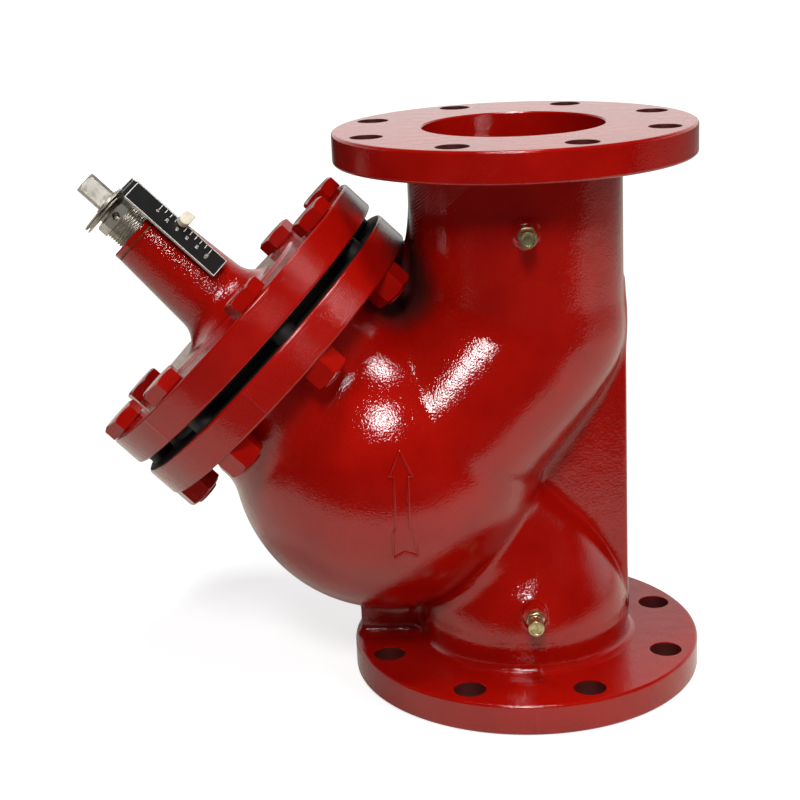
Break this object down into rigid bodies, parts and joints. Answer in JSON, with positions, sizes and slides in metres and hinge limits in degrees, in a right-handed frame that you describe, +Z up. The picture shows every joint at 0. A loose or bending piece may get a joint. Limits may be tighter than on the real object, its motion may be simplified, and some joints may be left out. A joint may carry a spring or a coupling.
{
  "type": "circuit balancing valve",
  "caption": "Flanged Y-pattern balancing valve: cast body, angled bonnet, rising stem with throttling disc, position scale and test plugs.",
  "frame": {"origin": "centre of the inlet flange's face, on the pipe axis", "axes": "+Z up the pipe axis from inlet to outlet, the bonnet leans from it towards -X, -Y is the side with the test plugs"},
  "size_m": [0.4366, 0.254, 0.4],
  "materials": {
    "red_paint": "glossy red enamel over cast iron",
    "steel": "machined, slightly dull",
    "brass": "turned brass and bronze",
    "seal_rubber": "matt black",
    "gasket": "fibre sheet",
    "scale_black": "black anodised plate with pale marks",
    "nylon": "natural nylon"
  },
  "bodies": {
    "casing": {"valve_body": "red_paint", "seat_ring": "brass", "bonnet": "red_paint", "bonnet_gasket": "gasket", "bonnet_bolts": "red_paint", "bonnet_nuts": "red_paint", "stem_guide": "brass", "stem_packing": "seal_rubber", "packing_gland": "brass", "neck_bush": "red_paint", "bush_shim": "brass", "indicator_peg": "nylon", "test_plug_bodies": "brass", "test_plug_seals": "seal_rubber", "test_plug_caps": "brass"},
    "scale_carrier": {"scale_plate": "scale_black"},
    "stem_set": {"stem": "steel", "drive_sleeve": "steel", "scale_washers": "steel", "retaining_ring": "steel", "valve_disc": "brass", "disc_seal": "seal_rubber", "throttling_plug": "brass", "plug_nut": "steel"}
  },
  "joints": [
    {"name": "lift", "type": "slide", "parent": "casing", "child": "scale_carrier", "axis": [-0.7071, 0, 0.7071], "range_m": [-0.013, 0.033]},
    {"name": "stem_turn", "type": "hinge", "parent": "scale_carrier", "child": "stem_set", "pos_m": [0, 0, 0.066], "axis": [-0.7071, 0, 0.7071], "range_deg": [-1170, 2970]}
  ],
  "couplings": [
    {"joint": "lift", "follows": "stem_turn", "m_per_rad": 0.0006366}
  ]
}
